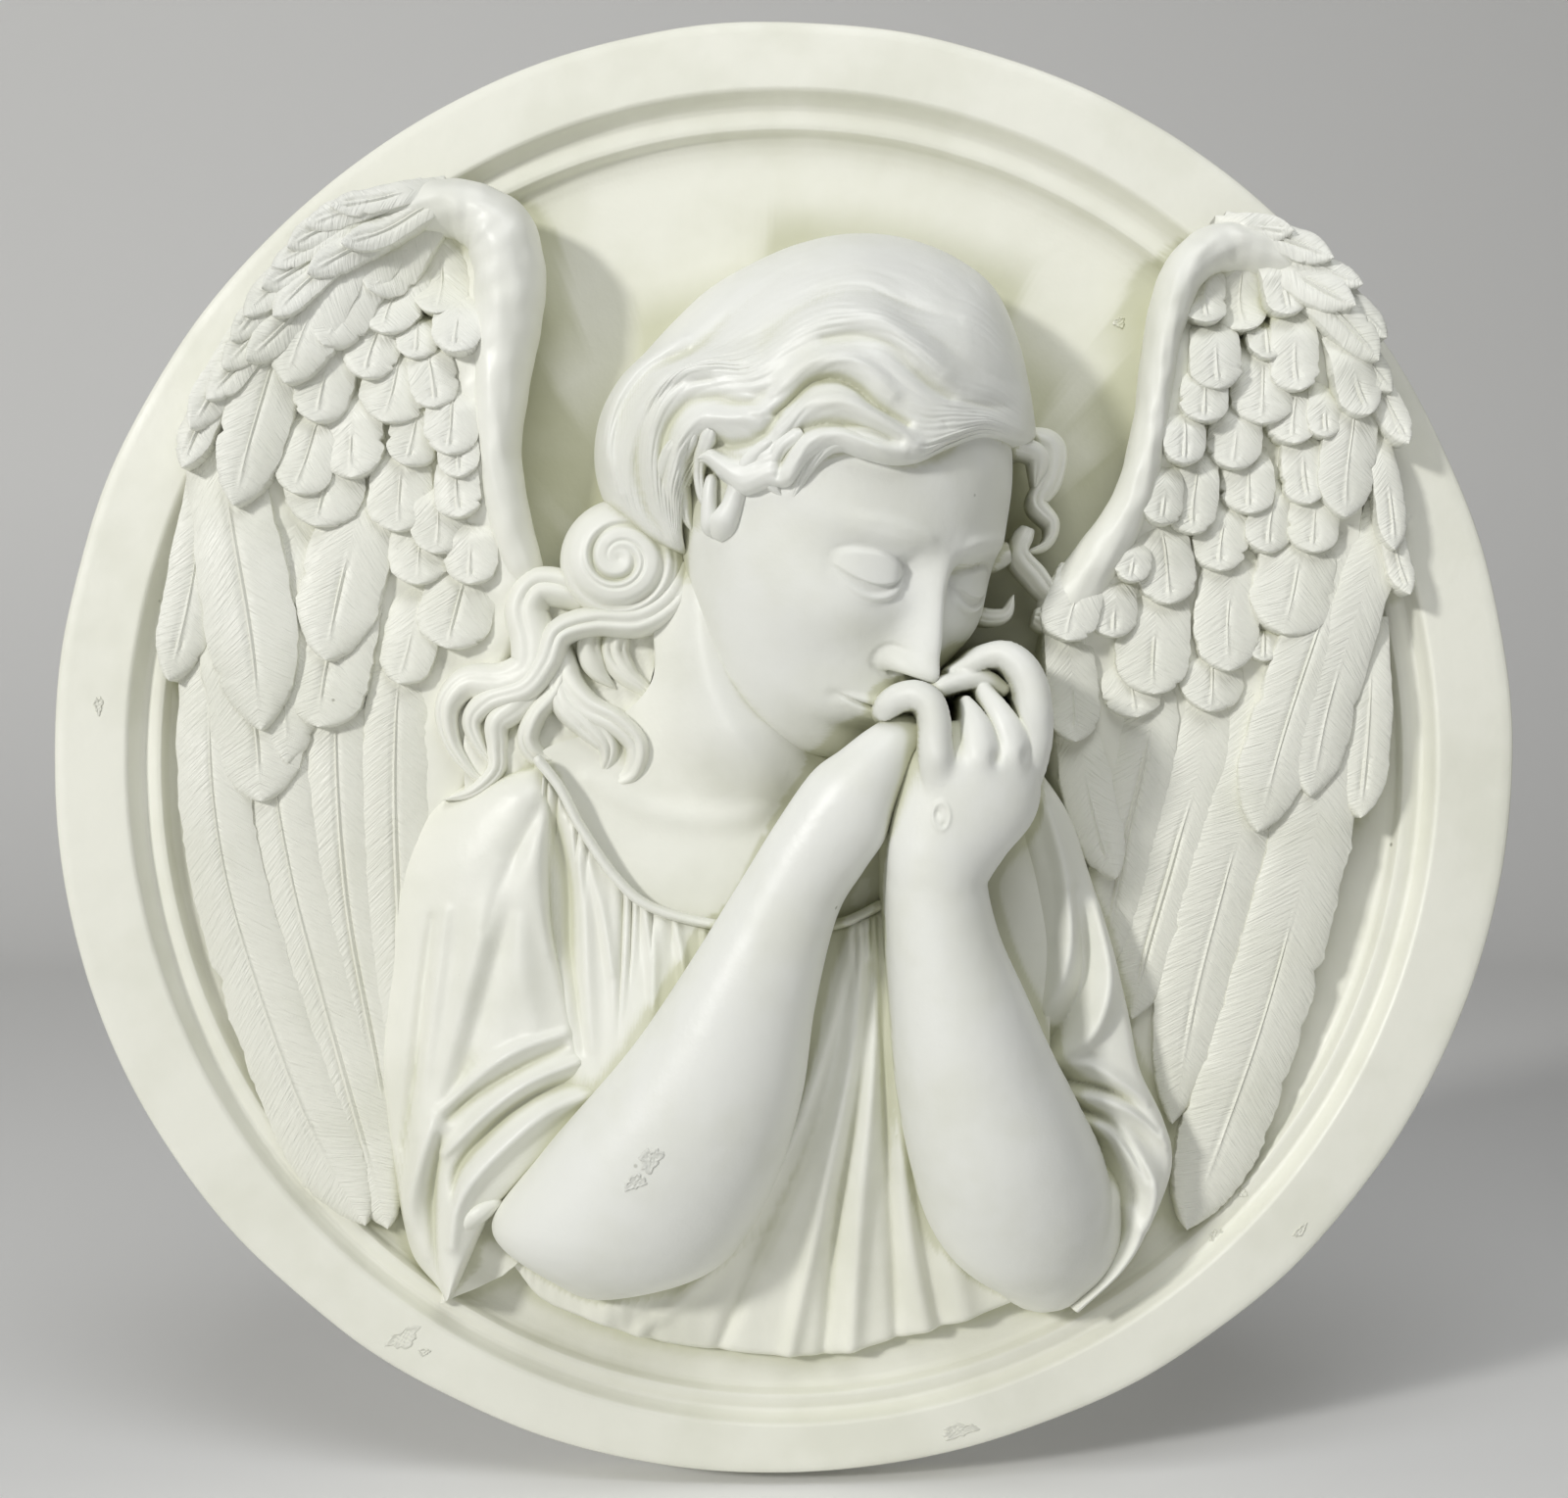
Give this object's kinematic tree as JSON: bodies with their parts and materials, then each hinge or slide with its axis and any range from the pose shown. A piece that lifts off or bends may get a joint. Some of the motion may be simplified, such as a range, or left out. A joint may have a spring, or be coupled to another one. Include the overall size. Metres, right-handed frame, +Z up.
{
  "type": "relief roundel",
  "caption": "Round wall plaque in high relief: a winged half-length figure with joined hands inside a moulded rim.",
  "frame": {"origin": "centre of the flat back face", "axes": "+Y out of the flat back, into the wall; the carving faces -Y; +Z up as the plaque hangs"},
  "size_m": [0.3809, 0.0757, 0.3791],
  "materials": {
    "cast_plaster": "painted, satin, ivory"
  },
  "bodies": {
    "root": {"roundel": "cast_plaster"}
  },
  "joints": []
}
